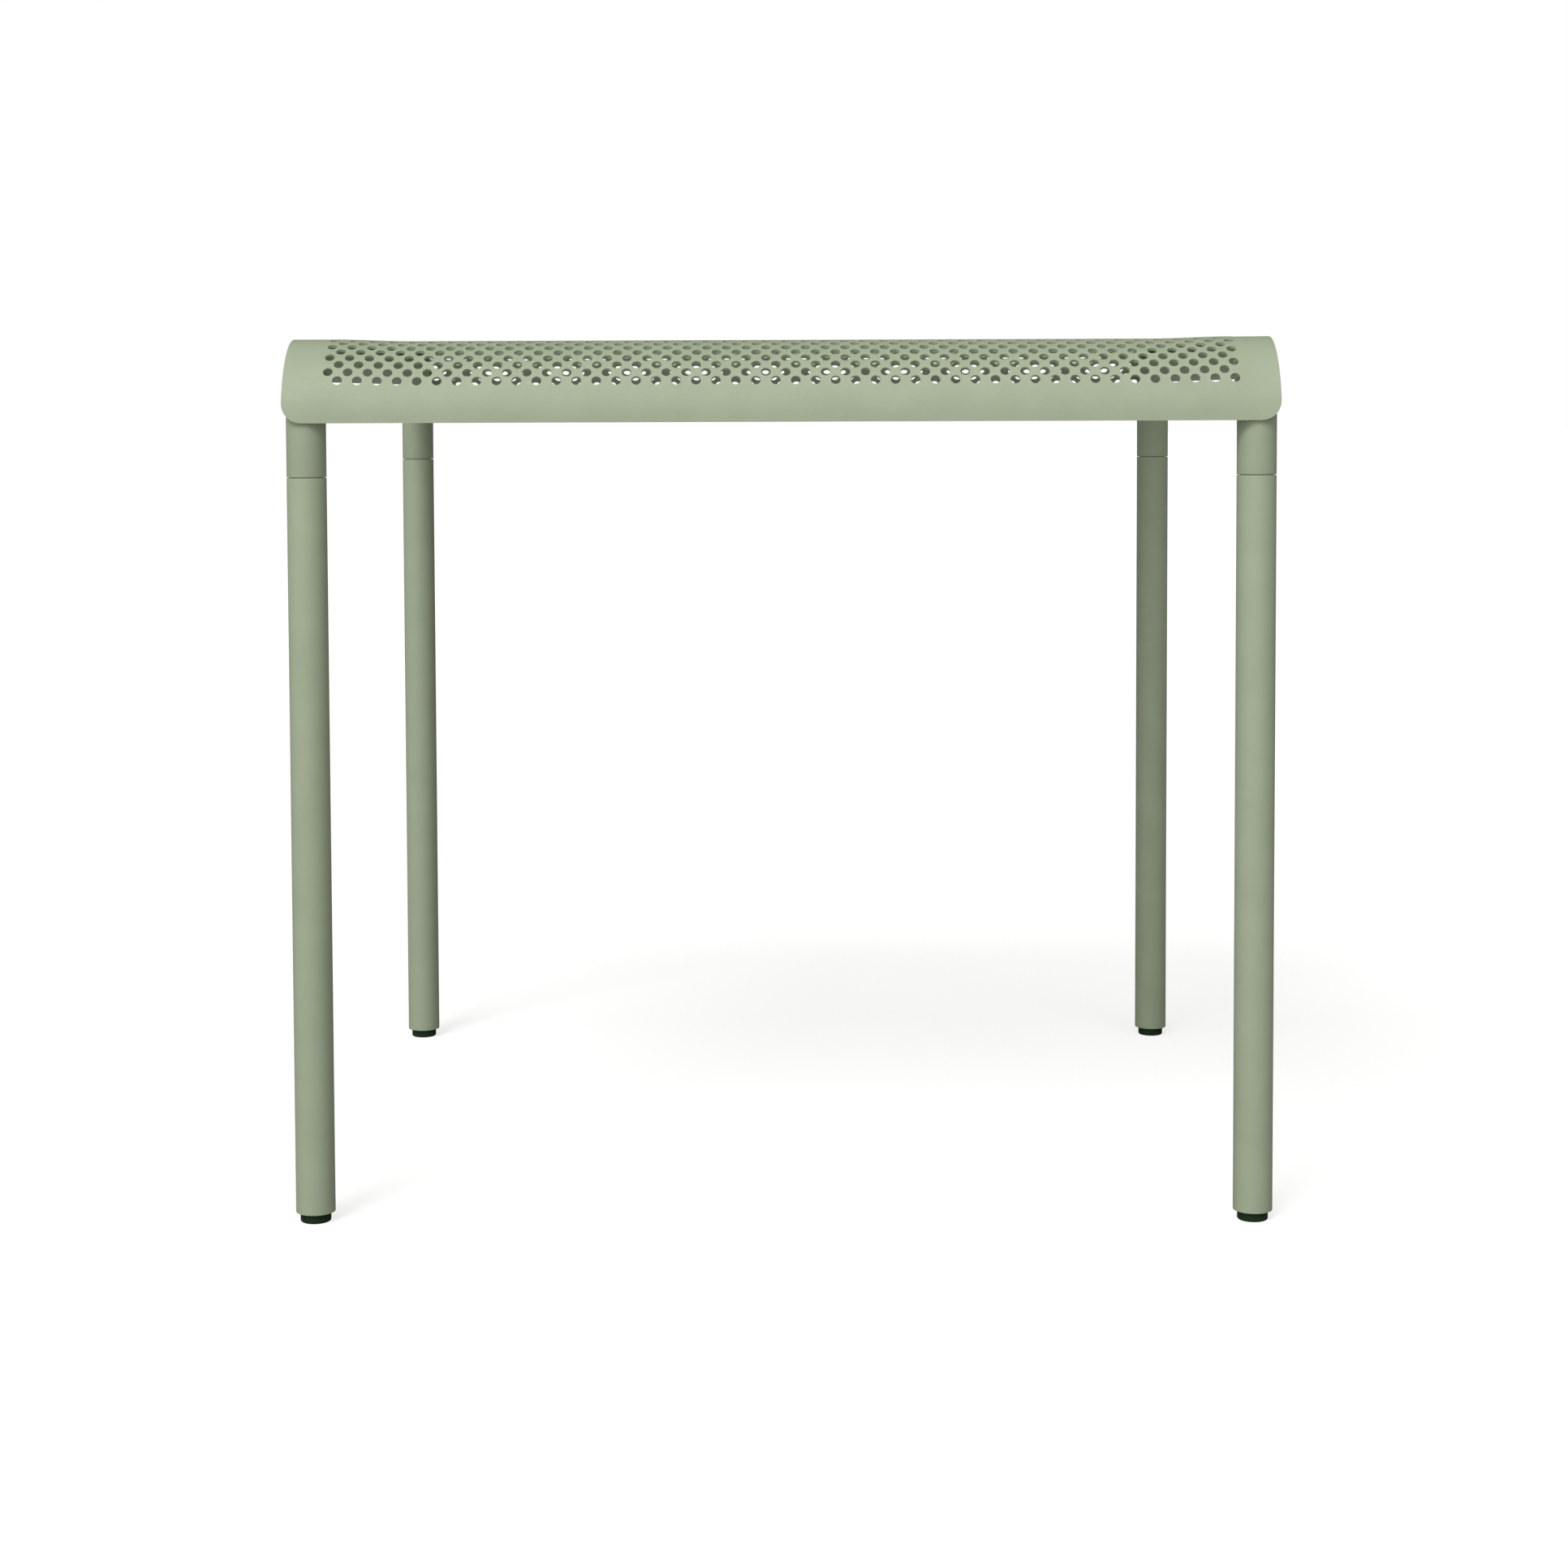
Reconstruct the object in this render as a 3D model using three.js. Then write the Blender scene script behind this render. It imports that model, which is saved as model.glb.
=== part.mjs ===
// Backless bench: one curved seat sheet on two inverted-U tube frames, with four screwed-on tube
// legs and four levelling feet. Millimetres, +Z up, origin on the floor under the middle of the
// bench, X along the width, front towards -Y.
import * as THREE from 'three';

// ---- overall sizes ----
const WIDTH = 500;            // along X
const DEPTH = 450;            // along Y
const HEIGHT = 450;           // floor to the top of the seat

// ---- seat sheet ----
const SHEET_T = 1.5;          // sheet thickness
const FLANK_R = 43;           // outer radius of the rolled front and back edges
const FLANK_DROP = 42.6;      // how far the rolled edges hang below the seat top
const CORNER_R = 10;          // rounding of the sheet's lower corners
const DIP = 1;                // how far the seat top sinks between the end frames
const DIP_RUN = 40;           // length over which the top sinks, inside each end frame

// ---- tubes ----
const TUBE_D = 20;            // outer diameter of frames and legs
const TUBE_WALL = 1.5;
const SHEET_OVERHANG = 0.7;   // sheet end past the outside of the tube
const SEAT_GAP = 0.3;         // clearance between the tube and the sheet that lies on it
const STUB_LENGTH = 27;       // straight tube between the frame's bend and its joint with the leg
const JOINT_LINE = 0.5;       // open line between the two tube ends
const EDGE_R = 0.4;           // broken edge at a tube's cut end

// ---- screw joint between frame and leg ----
const FIT_GAP = 0.1;          // radial clearance of what sits inside a tube
const SOCKET_LENGTH = 20;     // length of the frame's socket and of the leg's plug
const JOINT_STUD_D = 10;
const JOINT_STUD_LENGTH = 36;

// ---- levelling foot ----
const FOOT_HEIGHT = 5;        // floor to the leg's lower end, with the foot screwed home
const FOOT_D = 15.6;
const FOOT_EDGE = 0.8;        // rounding of the foot's lower edge
const FOOT_CORE = 2;          // thickness of the foot under its stem
const FOOT_SOCKET_LENGTH = 16;
const STEM_D = 8;
const STEM_LENGTH = 24;
const STEM_GAP = 0.08;        // radial running clearance of the stem

// ---- weld beads ----
const BEAD_R = 1;
const BEAD_GAP = 0.15;        // clearance of the bead to tube and sheet
const BEAD_START = 55;        // degrees down the rolled edge
const BEAD_PAST_EDGE = 1.5;   // degrees the bead runs past the sheet's edge

// ---- facets ----
const ROUND_SIDES = 24;
const BEAD_SIDES = 8;
const BEND_STEPS = 8;
const FLANK_STEPS = 12;
const CORNER_STEPS = 4;
const DIP_STEPS = 4;

// ---- derived sizes ----
const TUBE_R = TUBE_D / 2;
const BORE_R = TUBE_R - TUBE_WALL;
const LEG_X = WIDTH / 2 - SHEET_OVERHANG - TUBE_R;
const LEG_Y = DEPTH / 2 - SHEET_T - SEAT_GAP - TUBE_R;
const FLANK_Y = DEPTH / 2 - FLANK_R;        // where the flat top meets the rolled edge
const FLANK_Z = HEIGHT - FLANK_R;           // height of the rolled edge's centre
const BEND_R = LEG_Y - FLANK_Y;             // centreline radius of the frame's bends
const FLANK_END = Math.acos(1 - FLANK_DROP / FLANK_R);
const JOINT_Z = FLANK_Z - STUB_LENGTH;      // height of the line between frame and leg
const STUB_END_Z = JOINT_Z + JOINT_LINE / 2;
const LEG_TOP_Z = JOINT_Z - JOINT_LINE / 2;

const COLOURS = {
  sheet: [0x9fae90, 0.55, 0.1],
  tube: [0x9fae90, 0.55, 0.1],
  weld: [0x95a486, 0.6, 0.1],
  steel: [0xb4b6b4, 0.35, 0.9],
  rubber: [0x14201a, 0.8, 0],
};

function mesh(name, geometry, look) {
  const [color, roughness, metalness] = COLOURS[look];
  const piece = new THREE.Mesh(
    geometry,
    new THREE.MeshStandardMaterial({ color, roughness, metalness }),
  );
  piece.name = name;
  return piece;
}

// A closed skin over rings of points. The rings have one length and follow each other; the first
// and last are joined to each other, or covered by strips between their two halves.
function skin(rings, { joined }) {
  const size = rings[0].length;
  const points = rings.flat().flatMap((p) => [p.x, p.y, p.z]);
  const faces = [];
  const quad = (a, b, c, d) => faces.push(a, b, c, a, c, d);
  const last = joined ? rings.length : rings.length - 1;
  for (let i = 0; i < last; i++) {
    const here = i * size;
    const next = ((i + 1) % rings.length) * size;
    for (let j = 0; j < size; j++) {
      const k = (j + 1) % size;
      quad(here + j, next + j, next + k, here + k);
    }
  }
  if (!joined) {
    const end = (rings.length - 1) * size;
    for (let j = 0; j < size / 2 - 1; j++) {
      const facing = size - 1 - j;
      quad(j, j + 1, facing - 1, facing);
      quad(end + facing, end + facing - 1, end + j + 1, end + j);
    }
  }
  const geometry = new THREE.BufferGeometry();
  geometry.setAttribute('position', new THREE.Float32BufferAttribute(points, 3));
  geometry.setIndex(faces);
  geometry.computeVertexNormals();
  return geometry;
}

// A turned piece that stands along Z, from a profile of [radius, height] points.
function turned(profile) {
  const points = profile.map(([r, z]) => new THREE.Vector2(r, z));
  return new THREE.LatheGeometry(points, ROUND_SIDES).rotateX(Math.PI / 2);
}

// A ring-shaped piece from z0 to z1 with small broken edges outside.
function sleeve(inner, outer, z0, z1, edge) {
  return turned([
    [inner, z0], [outer - edge, z0], [outer, z0 + edge],
    [outer, z1 - edge], [outer - edge, z1], [inner, z1], [inner, z0],
  ]);
}

// A solid rod from z0 to z1 with chamfered ends.
function rod(radius, z0, z1, edge) {
  return turned([
    [0, z0], [radius - edge, z0], [radius, z0 + edge],
    [radius, z1 - edge], [radius - edge, z1], [0, z1],
  ]);
}

// ---- seat sheet ----

// How far the seat top sinks at x: nothing over the end frames, DIP between them.
function dipAt(x) {
  const inside = LEG_X - TUBE_R - Math.abs(x);
  const t = THREE.MathUtils.clamp(inside / DIP_RUN, 0, 1);
  return DIP * t * t * (3 - 2 * t);
}

// Angle down the rolled edge at which the sheet ends, less near its rounded corners.
function flankEndAt(x) {
  const into = Math.max(0, Math.abs(x) - (WIDTH / 2 - CORNER_R));
  const cut = CORNER_R - Math.sqrt(CORNER_R ** 2 - into ** 2);
  return FLANK_END - cut / FLANK_R;
}

function sheetStations() {
  const right = [];
  for (let i = 0; i <= DIP_STEPS; i++) {
    right.push(LEG_X - TUBE_R - DIP_RUN * (1 - i / DIP_STEPS));
  }
  for (let i = 0; i <= CORNER_STEPS; i++) {
    const angle = (i / CORNER_STEPS) * (Math.PI / 2);
    right.push(WIDTH / 2 - CORNER_R * (1 - Math.sin(angle)));
  }
  return [...right.map((x) => -x).reverse(), ...right];
}

// One side of the sheet at x, from its front lower edge over the top to its back lower edge.
function sheetLine(x, radius) {
  const end = flankEndAt(x);
  const line = [];
  for (const side of [-1, 1]) {
    for (let i = 0; i <= FLANK_STEPS; i++) {
      const share = side < 0 ? 1 - i / FLANK_STEPS : i / FLANK_STEPS;
      const angle = end * share;
      const y = side * (FLANK_Y + radius * Math.sin(angle));
      const z = FLANK_Z + (radius - dipAt(x)) * Math.cos(angle);
      line.push(new THREE.Vector3(x, y, z));
    }
  }
  return line;
}

function seatSheet() {
  const rings = sheetStations().map((x) => [
    ...sheetLine(x, FLANK_R), ...sheetLine(x, FLANK_R - SHEET_T).reverse(),
  ]);
  return mesh('seat_sheet', skin(rings, { joined: false }), 'sheet');
}

// ---- end frames ----

// Centreline of an inverted-U frame in the plane X = 0, as points with outward directions.
function frameLine() {
  const line = [{ y: -LEG_Y, z: STUB_END_Z, angle: Math.PI / 2 }];
  for (const side of [-1, 1]) {
    for (let i = 0; i <= BEND_STEPS; i++) {
      const share = side < 0 ? 1 - i / BEND_STEPS : i / BEND_STEPS;
      const angle = share * (Math.PI / 2);
      line.push({
        y: side * (FLANK_Y + BEND_R * Math.sin(angle)),
        z: FLANK_Z + BEND_R * Math.cos(angle),
        angle,
      });
    }
  }
  line.push({ y: LEG_Y, z: STUB_END_Z, angle: Math.PI / 2 });
  return line;
}

// Circle of the given radius round a point of the centreline.
function frameRing({ y, z, angle }, radius, x) {
  const side = Math.sign(y);
  return Array.from({ length: ROUND_SIDES }, (_, i) => {
    const turn = (i / ROUND_SIDES) * 2 * Math.PI;
    const out = radius * Math.cos(turn);
    return new THREE.Vector3(
      x - radius * Math.sin(turn),
      y + side * out * Math.sin(angle),
      z + out * Math.cos(angle),
    );
  });
}

function endFrame(name, x) {
  const line = frameLine();
  const raised = (point, by) => ({ ...point, z: point.z + by });
  const first = line[0];
  const last = line[line.length - 1];
  const outside = [
    frameRing(first, TUBE_R - EDGE_R, x),
    frameRing(raised(first, EDGE_R), TUBE_R, x),
    ...line.slice(1, -1).map((p) => frameRing(p, TUBE_R, x)),
    frameRing(raised(last, EDGE_R), TUBE_R, x),
    frameRing(last, TUBE_R - EDGE_R, x),
  ];
  const inside = line.map((p) => frameRing(p, BORE_R, x)).reverse();
  return mesh(name, skin([...outside, ...inside], { joined: true }), 'tube');
}

// ---- legs, their screw joints and feet: built at X = Y = 0 and moved to each corner ----

function leg(name) {
  return mesh(name, sleeve(BORE_R, TUBE_R, FOOT_HEIGHT, LEG_TOP_Z, EDGE_R), 'tube');
}

function frameSocket(name) {
  const outer = BORE_R - FIT_GAP;
  const inner = JOINT_STUD_D / 2 + FIT_GAP;
  return mesh(name, sleeve(inner, outer, JOINT_Z, JOINT_Z + SOCKET_LENGTH, EDGE_R), 'steel');
}

function legPlug(name) {
  const outer = BORE_R - FIT_GAP;
  const inner = JOINT_STUD_D / 2 + FIT_GAP;
  return mesh(name, sleeve(inner, outer, JOINT_Z - SOCKET_LENGTH, JOINT_Z, EDGE_R), 'steel');
}

function jointStud(name) {
  const half = JOINT_STUD_LENGTH / 2;
  return mesh(name, rod(JOINT_STUD_D / 2, JOINT_Z - half, JOINT_Z + half, 1), 'steel');
}

function footSocket(name) {
  const inner = STEM_D / 2 + STEM_GAP;
  const top = FOOT_HEIGHT + FOOT_SOCKET_LENGTH;
  return mesh(name, sleeve(inner, BORE_R - FIT_GAP, FOOT_HEIGHT, top, EDGE_R), 'steel');
}

function footPad(name) {
  const outer = FOOT_D / 2;
  const bore = STEM_D / 2 + FIT_GAP;
  return mesh(name, turned([
    [0, 0], [outer - FOOT_EDGE, 0], [outer - FOOT_EDGE / 4, FOOT_EDGE / 4],
    [outer, FOOT_EDGE], [outer, FOOT_HEIGHT],
    [bore, FOOT_HEIGHT], [bore, FOOT_CORE], [0, FOOT_CORE],
  ]), 'rubber');
}

function footStem(name) {
  return mesh(name, rod(STEM_D / 2, FOOT_CORE, FOOT_CORE + STEM_LENGTH, 0.8), 'steel');
}

// ---- weld beads between the frame's bends and the underside of the sheet ----

function weldBead(name, sideX, sideY) {
  const reach = BEAD_R + BEAD_GAP;
  const radius = FLANK_R - SHEET_T - reach;          // bead's distance from the bend's centre
  const aside = Math.sqrt((TUBE_R + reach) ** 2 - (radius - BEND_R) ** 2);
  const start = THREE.MathUtils.degToRad(BEAD_START);
  const end = FLANK_END + THREE.MathUtils.degToRad(BEAD_PAST_EDGE);
  const steps = BEAD_SIDES;
  const rings = [];
  for (let i = 0; i <= steps; i++) {
    const angle = start + ((end - start) * i) / steps;
    rings.push(Array.from({ length: BEAD_SIDES }, (_, j) => {
      const turn = (j / BEAD_SIDES) * 2 * Math.PI * sideX * sideY;
      const out = radius + BEAD_R * Math.cos(turn);
      return new THREE.Vector3(
        sideX * (LEG_X - aside) + BEAD_R * Math.sin(turn),
        sideY * (FLANK_Y + out * Math.sin(angle)),
        FLANK_Z + out * Math.cos(angle),
      );
    }));
  }
  if (sideX > 0) rings.reverse();
  return mesh(name, skin(rings, { joined: false }), 'weld');
}

// ---- assembly ----

const bench = new THREE.Group();
bench.add(seatSheet());
for (const [sideName, sideX] of [['left', -1], ['right', 1]]) {
  bench.add(endFrame(`end_frame_${sideName}`, sideX * LEG_X));
  for (const [endName, sideY] of [['front', -1], ['back', 1]]) {
    const place = `${endName}_${sideName}`;
    const corner = new THREE.Group();
    corner.position.set(sideX * LEG_X, sideY * LEG_Y, 0);
    corner.add(
      frameSocket(`frame_socket_${place}`),
      jointStud(`joint_stud_${place}`),
      legPlug(`leg_plug_${place}`),
      leg(`leg_${place}`),
      footSocket(`foot_socket_${place}`),
      footStem(`foot_stem_${place}`),
      footPad(`foot_pad_${place}`),
    );
    bench.add(corner, weldBead(`weld_bead_${place}`, sideX, sideY));
  }
}

export default bench;
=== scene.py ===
"""Looks of the backless bench: a perforated sheet seat on powder-coated tube frames, in metres."""
import math

import bpy
from mathutils import Matrix, Vector
from mathutils.geometry import delaunay_2d_cdt


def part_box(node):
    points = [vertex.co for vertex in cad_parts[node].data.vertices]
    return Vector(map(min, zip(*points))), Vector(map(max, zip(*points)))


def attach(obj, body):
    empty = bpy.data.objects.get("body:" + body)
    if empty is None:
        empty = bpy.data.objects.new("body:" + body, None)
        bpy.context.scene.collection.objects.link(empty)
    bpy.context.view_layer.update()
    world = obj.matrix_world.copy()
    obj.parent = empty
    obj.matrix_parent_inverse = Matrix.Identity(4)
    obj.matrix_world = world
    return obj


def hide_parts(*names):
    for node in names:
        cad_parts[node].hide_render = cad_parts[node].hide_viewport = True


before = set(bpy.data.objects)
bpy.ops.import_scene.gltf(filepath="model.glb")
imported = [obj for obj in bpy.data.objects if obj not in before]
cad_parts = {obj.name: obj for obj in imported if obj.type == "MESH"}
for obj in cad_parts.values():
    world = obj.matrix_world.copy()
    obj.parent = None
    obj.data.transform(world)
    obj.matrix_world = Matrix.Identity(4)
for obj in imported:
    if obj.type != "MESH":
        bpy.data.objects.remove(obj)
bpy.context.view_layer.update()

BENCH = "bench"
SIDES = {"left": -1, "right": 1}
ENDS = {"front": -1, "back": 1}

# ---- seat sheet ----
SHEET_LOW, SHEET_HIGH = (Vector(p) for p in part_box("seat_sheet"))
WIDTH = SHEET_HIGH.x - SHEET_LOW.x
TOP = SHEET_HIGH.z
SHEET_T = 0.0015
FLANK_R = 0.043               # outer radius of the rolled edges
FLANK_DROP = 0.0426           # how far the rolled edges hang below the seat top
NEUTRAL_R = FLANK_R - SHEET_T / 2
FLANK_Z = TOP - FLANK_R
FLANK_END = math.acos(1 - FLANK_DROP / FLANK_R)
FLANK_Y = SHEET_HIGH.y - FLANK_R * math.sin(FLANK_END)
CORNER_R = 0.010
DIP = 0.001                   # how far the seat top sinks between the end frames
DIP_RUN = 0.040
FRAME_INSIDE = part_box("end_frame_right")[0][0]

# ---- holes ----
HOLE_R = 0.0025
HOLE_PITCH = 0.010            # along a row
STAGGER = HOLE_PITCH / 4      # each row is moved this far, one way and the other in turn
HOLES_IN_ROW = 46
ROWS = 91
FIRST_ROW_ANGLE = math.radians(59.5)   # how far round the rolled edge the lowest row is
HOLE_SIDES = 12
WALL_IN_MAP = 0.5             # inner radius, over the hole's, at which a hole's wall is mapped
EDGE_IN_MAP = 1.0075          # how far out the cut edge's inner line is mapped, over the outline's
RIM_STRIPS = 5                # strips of faces in the plain rim along the front and back
RIM_GUIDES = 24               # guide points to each side of the middle, one hole pitch apart
CORNER_STEPS = 6
LENGTHWISE_STEP = 0.010       # spacing of outline points along the front and back
CROSSWISE_STEP = 0.005        # and along the two ends
SLIVER = 1e-8                 # triangles of less than half this area, in square metres, are left out

# ---- tubes ----
ROUND_SIDES = 64
BEND_STEPS = 24
TUBE_WALL = 0.0015
EDGE_R = 0.00035              # rounding of a tube's cut end
JOINT_CLOSING = 0.0001        # each tube's end reaches this far into the joint line
EDGE_STEPS = 4
SHARP_ANGLE = 50              # faces that meet at more degrees than this keep a sharp edge

# ---- feet and welds ----
FOOT_EDGE = 0.0010            # rounding of a pad's lower edge
FOOT_AXIS_R = 0.0002          # a turned pad's profile starts this far from its axis
FOOT_RECESS = 0.0004          # how far the middle of a pad's sole stands off the floor
FOOT_STEP = 0.00025           # depth of the step near a pad's top
FOOT_TOP_EDGE = 0.0004
FOOT_BORE_GAP = 0.00005
BEAD_SIDES = 14
BEAD_STEPS = 90
BEAD_R = 0.0012
RIPPLE = 0.10                 # share of the bead's radius
RIPPLE_PITCH = 0.0016
BEAD_SINK = 0.75              # depth of the bead's middle below the sheet's inner face, over BEAD_R
BEAD_TRIM = 0.02              # radians by which the bead starts later than its CAD box
BEAD_PAST_EDGE = math.radians(1.2)     # how far round past the sheet's edge the bead ends
BEAD_ASIDE = 0.0002           # how far the bead lies from its CAD line, away from the middle
BEAD_TAPER = 8                # a higher power keeps the bead full nearer to its ends
BEAD_LEAST = 0.02             # square of the bead's least share of its radius, at its ends


# =============================== mesh helpers ===============================

def new_piece(name, points, faces, material, smooth=True):
    mesh = bpy.data.meshes.new(name)
    mesh.from_pydata([tuple(p) for p in points], [], faces)
    mesh.validate()
    mesh.materials.append(material)
    mesh.polygons.foreach_set("use_smooth", [smooth] * len(mesh.polygons))
    piece = bpy.data.objects.new(name, mesh)
    bpy.context.scene.collection.objects.link(piece)
    return piece


def mark_sharp(piece):
    """Marks the edges whose faces meet at more than SHARP_ANGLE as sharp."""
    mesh = piece.data
    normals = {}
    for polygon in mesh.polygons:
        for key in polygon.edge_keys:
            normals.setdefault(key, []).append(polygon.normal)
    limit = math.radians(SHARP_ANGLE)
    for edge in mesh.edges:
        pair = normals.get(edge.key, [])
        edge.use_edge_sharp = len(pair) == 2 and pair[0].angle(pair[1], 0) > limit


def skin(name, rings, material, joined):
    """A closed skin over rings of points, joined first to last, or capped at both ends."""
    size = len(rings[0])
    points = [p for ring in rings for p in ring]
    faces = []
    for i in range(len(rings) if joined else len(rings) - 1):
        here, after = i * size, (i + 1) % len(rings) * size
        for j in range(size):
            k = (j + 1) % size
            faces.append((here + j, here + k, after + k, after + j))
    if not joined:
        faces.append(tuple(range(size))[::-1])
        faces.append(tuple(range(len(points) - size, len(points))))
    return new_piece(name, points, faces, material)


def ring_z(centre, radius, z, sides=ROUND_SIDES):
    turns = (2 * math.pi * i / sides for i in range(sides))
    return [Vector((centre.x + radius * math.cos(t), centre.y + radius * math.sin(t), z))
            for t in turns]


def turned(name, centre, profile, material, joined):
    """A turned piece along Z from (radius, height) pairs, outside going up."""
    return skin(name, [ring_z(centre, r, z) for r, z in profile], material, joined)


def quarter(radius, steps=EDGE_STEPS):
    """(aside, along) pairs of a rounded edge, from the end face to the side."""
    turns = (math.pi / 2 * i / steps for i in range(steps + 1))
    return [(radius * (1 - math.sin(t)), radius * (1 - math.cos(t))) for t in turns]


# =============================== materials ===============================

class Nodes:
    """A short way to build a node tree."""

    def __init__(self, name):
        self.material = bpy.data.materials.new(name)
        self.material.use_nodes = True
        self.tree = self.material.node_tree
        self.shader = self.tree.nodes["Principled BSDF"]
        place = self.add("ShaderNodeTexCoord")
        self.place = place.outputs["Object"]

    def add(self, kind, **values):
        node = self.tree.nodes.new(kind)
        for key, value in values.items():
            setattr(node, key, value)
        return node

    def link(self, a, b):
        self.tree.links.new(a, b)

    def noise(self, per_metre, detail=2.0, roughness=0.5):
        node = self.add("ShaderNodeTexNoise")
        self.link(self.place, node.inputs["Vector"])
        node.inputs["Scale"].default_value = per_metre
        node.inputs["Detail"].default_value = detail
        node.inputs["Roughness"].default_value = roughness
        return node.outputs["Fac"]

    def spread(self, value, low, high, to_low=0.0, to_high=1.0):
        node = self.add("ShaderNodeMapRange")
        self.link(value, node.inputs["Value"])
        for key, number in (("From Min", low), ("From Max", high),
                            ("To Min", to_low), ("To Max", to_high)):
            node.inputs[key].default_value = number
        return node.outputs["Result"]

    def ramp(self, value, stops):
        node = self.add("ShaderNodeValToRGB")
        self.link(value, node.inputs["Fac"])
        elements = node.color_ramp.elements
        while len(elements) < len(stops):
            elements.new(0.5)
        for element, (at, colour) in zip(elements, stops):
            element.position = at
            element.color = (*colour, 1)
        return node.outputs["Color"]

    def mix(self, share, a, b):
        """Mixes colours a and b; each is a socket or a plain colour."""
        node = self.add("ShaderNodeMix", data_type="RGBA")
        self.link(share, node.inputs["Factor"])
        for socket, value in ((node.inputs[6], a), (node.inputs[7], b)):
            if isinstance(value, tuple):
                socket.default_value = (*value, 1)
            else:
                self.link(value, socket)
        return node.outputs[2]

    def math(self, operation, a, b):
        node = self.add("ShaderNodeMath", operation=operation)
        for socket, value in zip(node.inputs, (a, b)):
            if isinstance(value, (int, float)):
                socket.default_value = value
            else:
                self.link(value, socket)
        return node.outputs[0]

    def bump(self, height, strength, distance, under=None):
        node = self.add("ShaderNodeBump")
        node.inputs["Strength"].default_value = strength
        node.inputs["Distance"].default_value = distance
        self.link(height, node.inputs["Height"])
        if under is not None:
            self.link(under, node.inputs["Normal"])
        return node.outputs["Normal"]

    def set(self, **values):
        for key, value in values.items():
            socket = self.shader.inputs[key.replace("_", " ")]
            if isinstance(value, bpy.types.NodeSocket):
                self.link(value, socket)
            else:
                socket.default_value = value


# Linear colours of the sage green coat, from its deepest to its palest mottle.
COAT = ((0.326, 0.374, 0.264), (0.338, 0.388, 0.275), (0.350, 0.401, 0.286))


def powder_coat(name, grain):
    """A fine-textured matt powder coat: soft mottle, grain of about 0.5 mm, slight orange peel, and a
    painted highlight paler along convex edges.
    """
    n = Nodes(name)
    mottle = n.noise(55, detail=3)
    speck = n.noise(2600, detail=1)
    tone = n.ramp(mottle, [(0.30, COAT[0]), (0.5, COAT[1]), (0.72, COAT[2])])
    pale = tuple(1.10 * c for c in COAT[2])
    tone = n.mix(n.spread(speck, 0.52, 0.74, 0, 0.30), tone, pale)
    # Painted highlight: the coat is made paler along convex edges, found by Pointiness, where rounded
    # edges would catch the light.
    edge_pointiness = n.add("ShaderNodeNewGeometry").outputs["Pointiness"]
    edge = n.spread(edge_pointiness, 0.53, 0.62, 0, 0.45)
    tone = n.mix(edge, tone, pale)
    rough = n.spread(n.noise(900, detail=2), 0.3, 0.7, 0.50, 0.64)
    peel = n.bump(n.noise(420, detail=2), 0.10 * grain, 0.0006)
    fine = n.bump(n.noise(1700, detail=3, roughness=0.6), 0.16 * grain, 0.00025, peel)
    n.set(Base_Color=tone, Roughness=rough, Normal=fine, Metallic=0.0)
    n.set(IOR=1.5)
    return n.material


def rubber(name):
    """Very dark green rubber with a fine moulded grain and a little dust."""
    n = Nodes(name)
    tone = n.ramp(n.noise(160, detail=3), [(0.3, (0.004, 0.018, 0.004)), (0.7, (0.008, 0.030, 0.008))])
    dust = n.spread(n.noise(900, detail=3), 0.55, 0.8, 0, 0.15)
    tone = n.mix(dust, tone, (0.040, 0.056, 0.038))
    rough = n.spread(n.noise(700, detail=2), 0.3, 0.7, 0.58, 0.78)
    n.set(Base_Color=tone, Roughness=rough, Metallic=0.0, Specular_IOR_Level=0.25,
          Normal=n.bump(n.noise(2200, detail=2), 0.25, 0.0002))
    return n.material


def zinc(name):
    """Zinc-plated turned steel, with fine rings along its axis and dulled patches."""
    n = Nodes(name)
    stretch = n.add("ShaderNodeMapping")
    n.link(n.place, stretch.inputs["Vector"])
    stretch.inputs["Scale"].default_value = (1, 1, 40)
    rings = n.add("ShaderNodeTexNoise")
    n.link(stretch.outputs["Vector"], rings.inputs["Vector"])
    rings.inputs["Scale"].default_value = 60
    rings.inputs["Detail"].default_value = 3
    patches = n.noise(240, detail=4)
    tone = n.ramp(patches, [(0.3, (0.42, 0.43, 0.44)), (0.7, (0.60, 0.61, 0.60))])
    rough = n.spread(patches, 0.3, 0.7, 0.28, 0.46)
    n.set(Base_Color=tone, Roughness=rough, Metallic=0.95,
          Normal=n.bump(rings.outputs["Fac"], 0.2, 0.0002))
    return n.material


# =============================== seat sheet ===============================

def dip_at(x):
    t = min(1.0, max(0.0, (FRAME_INSIDE - abs(x)) / DIP_RUN))
    return DIP * t * t * (3 - 2 * t)


def on_sheet(x, v, radius):
    """The point at x and at v along the flat blank, on the rolled sheet's face of this radius."""
    side = math.copysign(1, v)
    angle = max(0.0, abs(v) - FLANK_Y) / NEUTRAL_R
    y = side * (min(abs(v), FLANK_Y) + radius * math.sin(angle))
    z = FLANK_Z + (radius - dip_at(x)) * math.cos(angle)
    return Vector((x, y, z))


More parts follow.
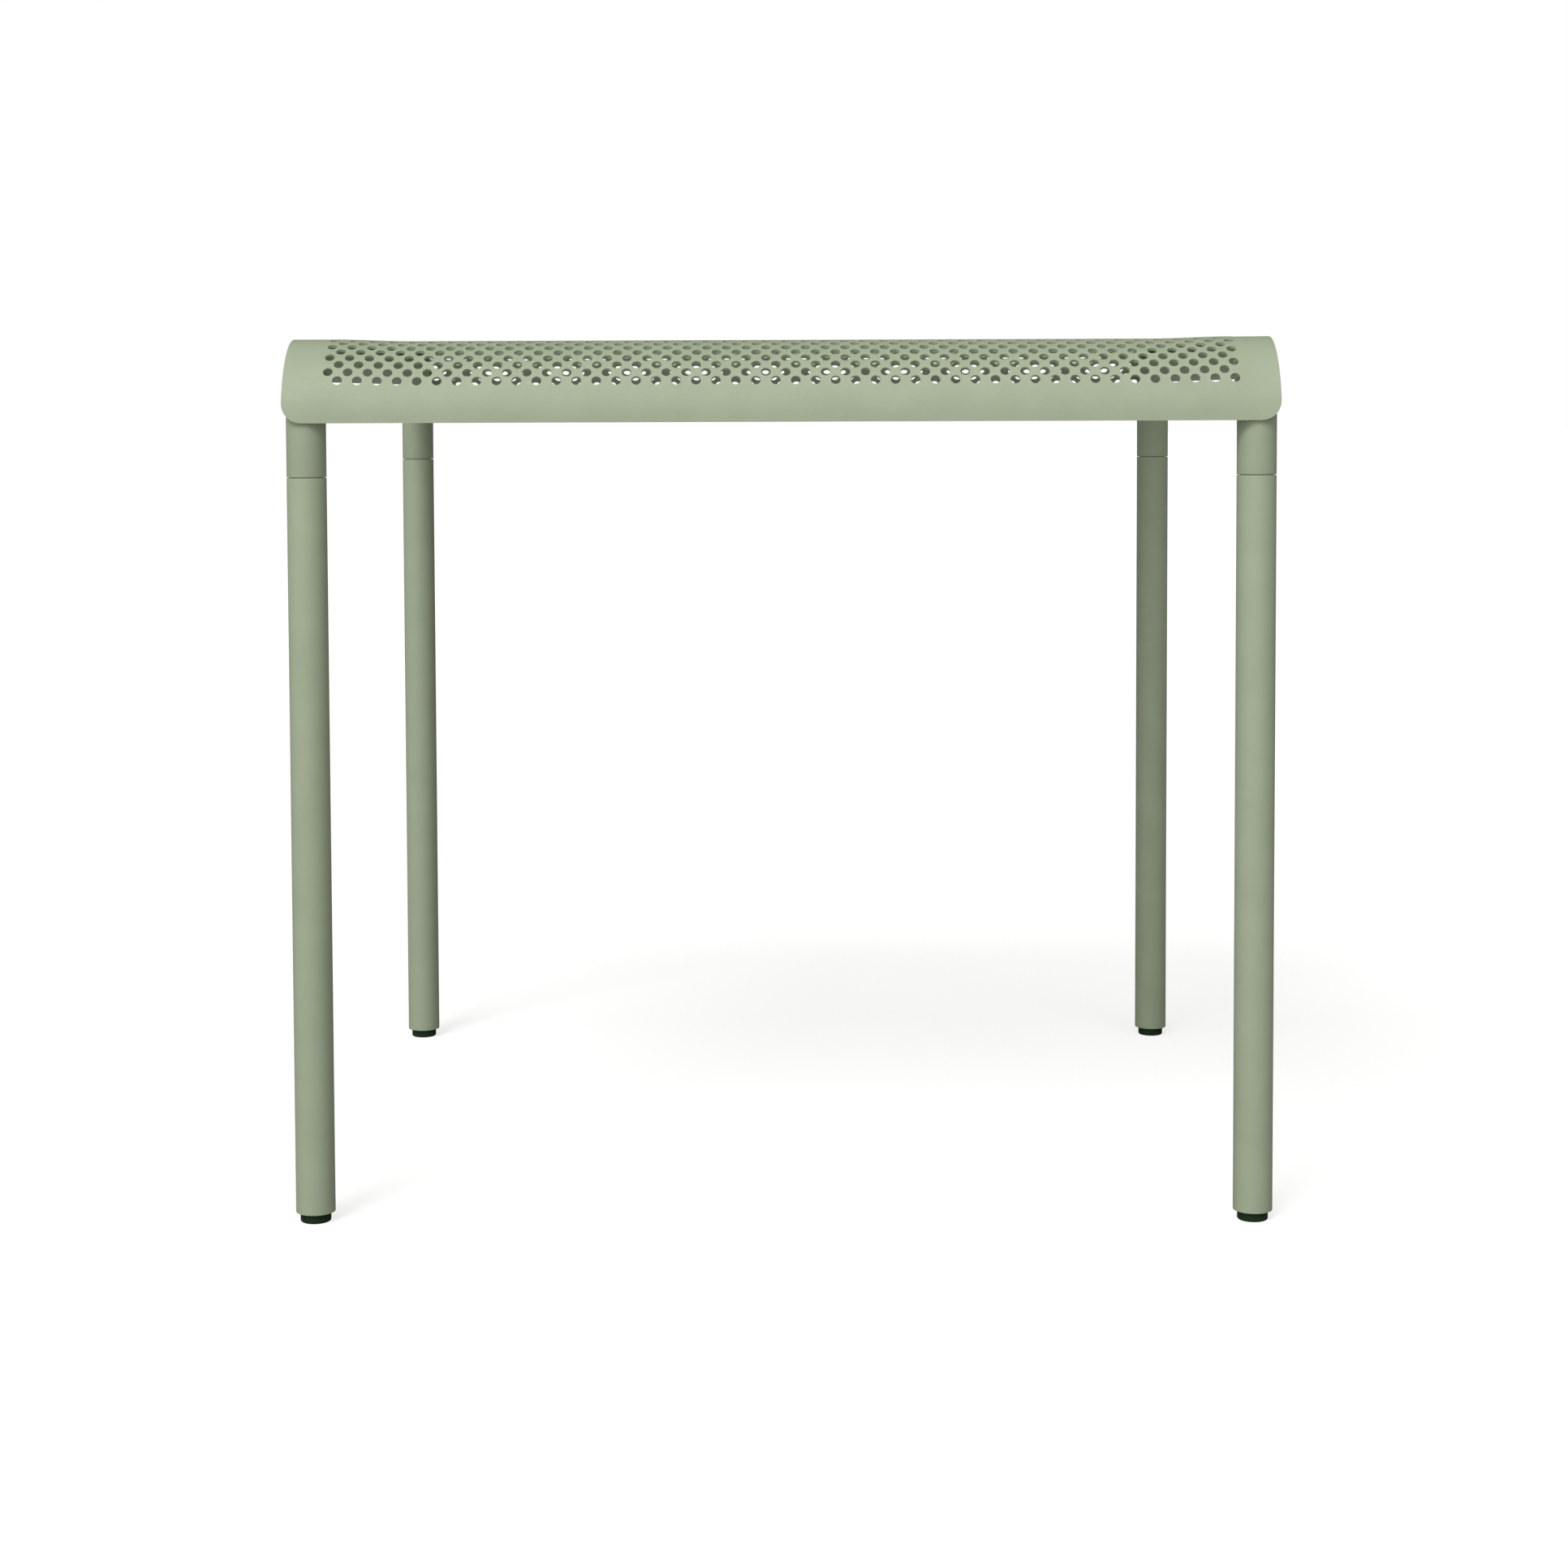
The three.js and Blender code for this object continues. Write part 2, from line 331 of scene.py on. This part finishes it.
class Blank:
    """The flat blank of the sheet: numbered points at (x, v), and faces among them."""

    def __init__(self):
        self.points, self.faces, self.holes = [], [], []
        self.first_v = FLANK_Y + NEUTRAL_R * FIRST_ROW_ANGLE
        self.row_pitch = 2 * self.first_v / (ROWS - 1)
        self.end_v = FLANK_Y + NEUTRAL_R * FLANK_END
        self.between = {}

    def point(self, x, v):
        self.points.append((x, v))
        return len(self.points) - 1

    def gap(self, row, i):
        """The point midway between two holes of a row, left of its hole i."""
        if (row, i) not in self.between:
            moved = STAGGER if row % 2 == 0 else -STAGGER
            x = (i - HOLES_IN_ROW / 2) * HOLE_PITCH + moved
            self.between[row, i] = self.point(x, row * self.row_pitch - self.first_v)
        return self.between[row, i]

    def add_hole(self, row, i):
        """A hole in its diamond-shaped cell, whose corners lie between the holes around it."""
        above = i + 1 if row % 2 == 0 else i
        corners = [self.gap(row, i + 1), self.gap(row + 1, above),
                   self.gap(row, i), self.gap(row - 1, above)]
        x = (self.points[corners[0]][0] + self.points[corners[2]][0]) / 2
        v = self.points[corners[0]][1]
        turns = (2 * math.pi * j / HOLE_SIDES for j in range(HOLE_SIDES))
        rim = [self.point(x + HOLE_R * math.cos(t), v + HOLE_R * math.sin(t)) for t in turns]
        quarter_sides = HOLE_SIDES // 4
        for q in range(4):
            a, b = corners[q], corners[(q + 1) % 4]
            r = [rim[(q * quarter_sides + j) % HOLE_SIDES] for j in range(quarter_sides + 1)]
            self.faces += [(a, r[1], r[0]), (a, b, r[2], r[1]), (b, r[3], r[2])]
        self.holes.append((rim, (x, v)))
        return corners

    def outline(self):
        """Points of the blank's outline, counter-clockwise, with rounded corners."""
        x0, v0 = WIDTH / 2 - CORNER_R, self.end_v - CORNER_R
        path = []
        for i in range(4):
            turn = Matrix.Rotation(math.pi / 2 * i, 2)
            wide, high = (x0, v0) if i % 2 == 0 else (v0, x0)
            for j in range(CORNER_STEPS + 1):
                a = math.pi / 2 * j / CORNER_STEPS
                corner = Vector((wide + CORNER_R * math.cos(a), high + CORNER_R * math.sin(a)))
                path.append(turn @ corner)
            steps = round(2 * wide / (LENGTHWISE_STEP if i % 2 == 0 else CROSSWISE_STEP))
            for j in range(1, steps):
                path.append(turn @ Vector((wide - 2 * wide * j / steps, high + CORNER_R)))
        return path


def perforated_sheet(material):
    blank = Blank()
    edges = {}
    for row in range(ROWS):
        for i in range(HOLES_IN_ROW):
            corners = blank.add_hole(row, i)
            for q in range(4):
                key = tuple(sorted((corners[q], corners[(q + 1) % 4])))
                edges[key] = edges.get(key, 0) + 1
    border = [key for key, times in edges.items() if times == 1]

    # The plain rim between the outline and the field of holes.
    path = blank.outline()
    outline = [blank.point(*p) for p in path]
    guide = []
    for side in (-1, 1):
        for k in range(1, RIM_STRIPS):
            v = blank.first_v + blank.row_pitch
            v += (blank.end_v - v) * k / RIM_STRIPS
            guide += [blank.point(HOLE_PITCH * i, side * v)
                      for i in range(-RIM_GUIDES, RIM_GUIDES + 1)]
    used = sorted({p for key in border for p in key} | set(outline) | set(guide))
    number = {p: i for i, p in enumerate(used)}
    rim_edges = [(number[a], number[b]) for a, b in border]
    rim_edges += [(number[a], number[b]) for a, b in zip(outline, outline[1:] + outline[:1])]
    flat, _, triangles, origin, _, _ = delaunay_2d_cdt(
        [Vector(blank.points[p]) for p in used], rim_edges, [], 0, 1e-7)
    back = [used[o[0]] if o else None for o in origin]

    def in_field(x, v):
        row = round((v + blank.first_v) / blank.row_pitch)
        for r in (row - 1, row, row + 1):
            if not 0 <= r < ROWS:
                continue
            moved = STAGGER if r % 2 == 0 else -STAGGER
            i = round((x - moved) / HOLE_PITCH + (HOLES_IN_ROW - 1) / 2)
            if 0 <= i < HOLES_IN_ROW:
                dx = abs(x - moved - (i - (HOLES_IN_ROW - 1) / 2) * HOLE_PITCH)
                dv = abs(v + blank.first_v - r * blank.row_pitch)
                if dx / (HOLE_PITCH / 2) + dv / blank.row_pitch < 1:
                    return True
        return False

    def in_outline(x, v):
        dx = max(0.0, abs(x) - (WIDTH / 2 - CORNER_R))
        dv = max(0.0, abs(v) - (blank.end_v - CORNER_R))
        return math.hypot(dx, dv) < CORNER_R

    for t in triangles:
        a, b, c = (flat[i] for i in t)
        x, v = (a + b + c) / 3
        sliver = abs((b - a).cross(c - a)) < SLIVER
        if not sliver and in_outline(x, v) and not in_field(x, v):
            blank.faces.append(tuple(back[i] for i in t))

    # Both faces of the sheet, the holes' walls and the cut edge.
    count = len(blank.points)
    points = [on_sheet(x, v, FLANK_R) for x, v in blank.points]
    points += [on_sheet(x, v, FLANK_R - SHEET_T) for x, v in blank.points]
    faces = list(blank.faces)
    faces += [tuple(i + count for i in f[::-1]) for f in blank.faces]
    walls_from = len(faces)
    owner = []
    for rim, centre in blank.holes:
        for a, b in zip(rim, rim[1:] + rim[:1]):
            faces.append((a, b, b + count, a + count))
            owner.append(centre)
    edge_from = len(faces)
    for a, b in zip(outline, outline[1:] + outline[:1]):
        faces.append((b, a, a + count, b + count))
    piece = new_piece("perforated_seat_sheet", points, faces, material)
    mesh = piece.data

    # The map: outer face on the left, inner face on the right, each hole's wall inside its hole.
    def place(x, v, inner):
        across = 0.01 + 0.48 * (x + WIDTH / 2) / WIDTH + (0.5 if inner else 0)
        return across, 0.01 + 0.98 * (v + blank.end_v) / (2 * blank.end_v)

    layer = mesh.uv_layers.new(name="OFBake")
    flat_uv = [0.0] * (2 * len(mesh.loops))
    for polygon in mesh.polygons:
        for loop in polygon.loop_indices:
            p = mesh.loops[loop].vertex_index
            x, v = blank.points[p % count]
            inner = p >= count
            if walls_from <= polygon.index < edge_from:
                cx, cv = owner[polygon.index - walls_from]
                if inner:
                    x, v = cx + (x - cx) * WALL_IN_MAP, cv + (v - cv) * WALL_IN_MAP
                inner = False
            elif polygon.index >= edge_from:
                if inner:
                    x, v = x * EDGE_IN_MAP, v * EDGE_IN_MAP
                inner = False
            flat_uv[2 * loop:2 * loop + 2] = place(x, v, inner)
    layer.data.foreach_set("uv", flat_uv)
    mark_sharp(piece)
    return piece


# =============================== tubes ===============================

def end_frame(name, material):
    """An inverted U of tube: up from one joint, over under the sheet and down to the other."""
    low, high = (Vector(p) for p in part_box(name))
    x = (low.x + high.x) / 2
    radius = (high.x - low.x) / 2
    leg_y = high.y - radius
    bend = leg_y - FLANK_Y
    line = [(-leg_y, low.z - JOINT_CLOSING, math.pi / 2)]
    for way in (-1, 1):
        for i in range(BEND_STEPS + 1):
            share = 1 - i / BEND_STEPS if way < 0 else i / BEND_STEPS
            angle = share * math.pi / 2
            line.append((way * (FLANK_Y + bend * math.sin(angle)),
                         FLANK_Z + bend * math.cos(angle), angle))
    line.append((leg_y, low.z - JOINT_CLOSING, math.pi / 2))

    def ring(y, z, angle, r):
        way = math.copysign(1, y)
        turns = (2 * math.pi * i / ROUND_SIDES for i in range(ROUND_SIDES))
        return [Vector((x + r * math.sin(t), y + way * r * math.cos(t) * math.sin(angle),
                        z + r * math.cos(t) * math.cos(angle))) for t in turns]

    joint_z = low.z - JOINT_CLOSING
    start = [ring(line[0][0], joint_z + along, math.pi / 2, radius - aside)
             for aside, along in quarter(EDGE_R)]
    finish = [ring(line[-1][0], joint_z + along, math.pi / 2, radius - aside)
              for aside, along in quarter(EDGE_R)][::-1]
    outside = start + [ring(*p, radius) for p in line[1:-1]] + finish
    inside = [ring(*p, radius - TUBE_WALL) for p in line][::-1]
    piece = skin(f"coated_{name}", outside + inside, material, True)
    mark_sharp(piece)
    return piece


def leg(name, material):
    low, high = (Vector(p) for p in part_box(name))
    centre, radius = (low + high) / 2, (high.x - low.x) / 2
    inner, top = radius - TUBE_WALL, high.z + JOINT_CLOSING
    profile = [(inner, low.z)]
    profile += [(radius - aside, low.z + along) for aside, along in quarter(EDGE_R)]
    profile += [(radius - aside, top - along) for aside, along in quarter(EDGE_R)][::-1]
    profile += [(inner, top)]
    piece = turned(f"coated_{name}", centre, profile, material, True)
    mark_sharp(piece)
    return piece


def foot_pad(name, stem, material):
    """A moulded pad: softened lower edge, a faint waist line, and a seat for its stem."""
    low, high = (Vector(p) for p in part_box(name))
    centre, radius = (low + high) / 2, (high.x - low.x) / 2
    stem_low, stem_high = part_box(stem)
    bore = (stem_high[0] - stem_low[0]) / 2 + FOOT_BORE_GAP
    sole = low.z + FOOT_RECESS
    profile = [(FOOT_AXIS_R, sole), (radius * 0.55, sole), (radius * 0.62, low.z)]
    profile += [(radius - aside, low.z + along) for aside, along in quarter(FOOT_EDGE)]
    profile += [(radius, high.z - 0.0012), (radius - FOOT_STEP, high.z - 0.0009),
                (radius - FOOT_STEP, high.z - 0.0005), (radius - FOOT_TOP_EDGE, high.z)]
    profile += [(bore, high.z), (bore, stem_low[2]), (FOOT_AXIS_R, stem_low[2])]
    piece = turned(f"rubber_{name}", centre, profile, material, False)
    mark_sharp(piece)
    return piece


def weld_bead(name, side, way, material):
    """A rippled bead in the corner between a frame's bend and the sheet."""
    low, high = (Vector(p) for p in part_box(name))
    x = (low.x + high.x) / 2
    inner = FLANK_R - SHEET_T
    radius = inner - BEAD_R * BEAD_SINK
    start = math.acos(min(1.0, (high.z - FLANK_Z) / radius)) + BEAD_TRIM
    finish = FLANK_END + BEAD_PAST_EDGE
    rings = []
    for i in range(BEAD_STEPS + 1):
        share = i / BEAD_STEPS
        angle = start + (finish - start) * share
        swell = 1 + RIPPLE * math.sin(2 * math.pi * radius * angle / RIPPLE_PITCH)
        taper = math.sqrt(max(BEAD_LEAST, 1 - (2 * share - 1) ** BEAD_TAPER))
        r = BEAD_R * swell * taper
        ring = []
        for j in range(BEAD_SIDES):
            t = 2 * math.pi * j / BEAD_SIDES * side * way
            out = radius + r * math.cos(t)
            ring.append(Vector((x + side * BEAD_ASIDE + r * math.sin(t),
                                way * (FLANK_Y + out * math.sin(angle)),
                                FLANK_Z + out * math.cos(angle))))
        rings.append(ring)
    if side > 0:
        rings.reverse()
    return skin(f"coated_{name}", rings, material, False)


# =============================== assembly ===============================

def build():
    sheet_coat = powder_coat("sheet_coat", grain=1.0)
    tube_coat = powder_coat("tube_coat", grain=0.8)
    weld_coat = powder_coat("weld_coat", grain=1.4)
    foot_rubber = rubber("foot_rubber")
    plated = zinc("plated_steel")

    def settle(piece, node, body):
        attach(piece, body)
        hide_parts(node)

    settle(perforated_sheet(sheet_coat), "seat_sheet", BENCH)
    for side_name, side in SIDES.items():
        node = f"end_frame_{side_name}"
        settle(end_frame(node, tube_coat), node, BENCH)
        for end_name, way in ENDS.items():
            place = f"{end_name}_{side_name}"
            settle(leg(f"leg_{place}", tube_coat), f"leg_{place}", BENCH)
            settle(weld_bead(f"weld_bead_{place}", side, way, weld_coat),
                   f"weld_bead_{place}", BENCH)
            settle(foot_pad(f"foot_pad_{place}", f"foot_stem_{place}", foot_rubber),
                   f"foot_pad_{place}", f"foot_{place}")
            for part in ("frame_socket", "joint_stud", "leg_plug", "foot_socket", "foot_stem"):
                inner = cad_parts[f"{part}_{place}"]
                for material_slot in inner.material_slots:
                    material_slot.material = plated


# =============================== camera, light, floor ===============================

SKY_STRENGTH = 0.20
SKY_COLOUR = (0.93, 1.0, 0.80, 1)
FLOOR_HALF = 30
FLOOR_LIFT = 0.735            # added to what a camera sees of the floor
KEY = {"strength": 1.45, "width": 22, "azimuth": -24, "elevation": 48}
WIDE = {"strength": 2.0, "width": 110, "azimuth": -22, "elevation": 25}

CAMERA_AT = Vector((0.0085, -1.6614, 0.4205))
CAMERA_LENS = 66.0            # millimetres, as is the sensor
CAMERA_SENSOR = 36
CAMERA_REACH = 100
CAMERA_YAW = -0.0050          # yaw, roll and tilt are in radians
CAMERA_ROLL = -0.0035
CAMERA_TILT = 0.0560
CAMERA_SHIFT = -0.145         # shift and tilt together keep the uprights nearly parallel


def add_camera():
    data = bpy.data.cameras.new("camera")
    data.sensor_width = CAMERA_SENSOR
    data.lens = CAMERA_LENS
    data.shift_y = CAMERA_SHIFT
    data.clip_end = CAMERA_REACH
    camera = bpy.data.objects.new("camera", data)
    bpy.context.scene.collection.objects.link(camera)
    turn = (Matrix.Rotation(-CAMERA_YAW, 4, "Z") @ Matrix.Rotation(math.pi / 2 - CAMERA_TILT, 4, "X")
            @ Matrix.Rotation(CAMERA_ROLL, 4, "Z"))
    camera.matrix_world = Matrix.Translation(CAMERA_AT) @ turn
    bpy.context.scene.camera = camera


def add_softbox(name, strength, width, azimuth, elevation):
    """A soft light far away that looks as wide as this angle; all angles are in degrees."""
    data = bpy.data.lights.new(name, "SUN")
    data.energy = strength
    data.angle = math.radians(width)
    lamp = bpy.data.objects.new(name, data)
    turn, rise = math.radians(azimuth), math.radians(elevation)
    away = Vector((math.sin(turn) * math.cos(rise), -math.cos(turn) * math.cos(rise), math.sin(rise)))
    lamp.rotation_euler = away.to_track_quat("Z", "Y").to_euler()
    bpy.context.scene.collection.objects.link(lamp)


def add_world():
    world = bpy.data.worlds.new("studio")
    bpy.context.scene.world = world
    world.use_nodes = True
    tree = world.node_tree
    tree.nodes.clear()
    path = tree.nodes.new("ShaderNodeLightPath")
    light = tree.nodes.new("ShaderNodeBackground")
    light.inputs["Strength"].default_value = SKY_STRENGTH
    light.inputs["Color"].default_value = SKY_COLOUR
    seen = tree.nodes.new("ShaderNodeBackground")
    seen.inputs["Strength"].default_value = 1
    seen.inputs["Color"].default_value = (1, 1, 1, 1)
    mix = tree.nodes.new("ShaderNodeMixShader")
    out = tree.nodes.new("ShaderNodeOutputWorld")
    tree.links.new(path.outputs["Is Camera Ray"], mix.inputs["Fac"])
    tree.links.new(light.outputs["Background"], mix.inputs[1])
    tree.links.new(seen.outputs["Background"], mix.inputs[2])
    tree.links.new(mix.outputs["Shader"], out.inputs["Surface"])


def add_floor():
    """A white floor, lifted to white where a camera sees it, and clear from below."""
    points = [(x * FLOOR_HALF, y * FLOOR_HALF, 0) for x, y in ((-1, -1), (1, -1), (1, 1), (-1, 1))]
    n = Nodes("studio_floor")
    tone = n.ramp(n.noise(1.5, detail=2), [(0.3, (0.40, 0.40, 0.40)), (0.7, (0.42, 0.42, 0.42))])
    n.set(Base_Color=tone, Roughness=0.9, Specular_IOR_Level=0.0)
    lift = n.add("ShaderNodeEmission")
    path = n.add("ShaderNodeLightPath")
    n.link(n.math("MULTIPLY", path.outputs["Is Camera Ray"], FLOOR_LIFT), lift.inputs["Strength"])
    both = n.add("ShaderNodeAddShader")
    n.link(n.shader.outputs["BSDF"], both.inputs[0])
    n.link(lift.outputs["Emission"], both.inputs[1])
    under = n.add("ShaderNodeMixShader")
    n.link(n.add("ShaderNodeNewGeometry").outputs["Backfacing"], under.inputs["Fac"])
    n.link(both.outputs["Shader"], under.inputs[1])
    n.link(n.add("ShaderNodeBsdfTransparent").outputs["BSDF"], under.inputs[2])
    out = n.tree.nodes["Material Output"]
    n.link(under.outputs["Shader"], out.inputs["Surface"])
    floor = new_piece("floor", points, [(0, 1, 2, 3)], n.material, smooth=False)


add_camera()
build()
add_world()
add_floor()
add_softbox("key", **KEY)
add_softbox("wide", **WIDE)
scene = bpy.context.scene
scene.view_settings.view_transform = "Standard"
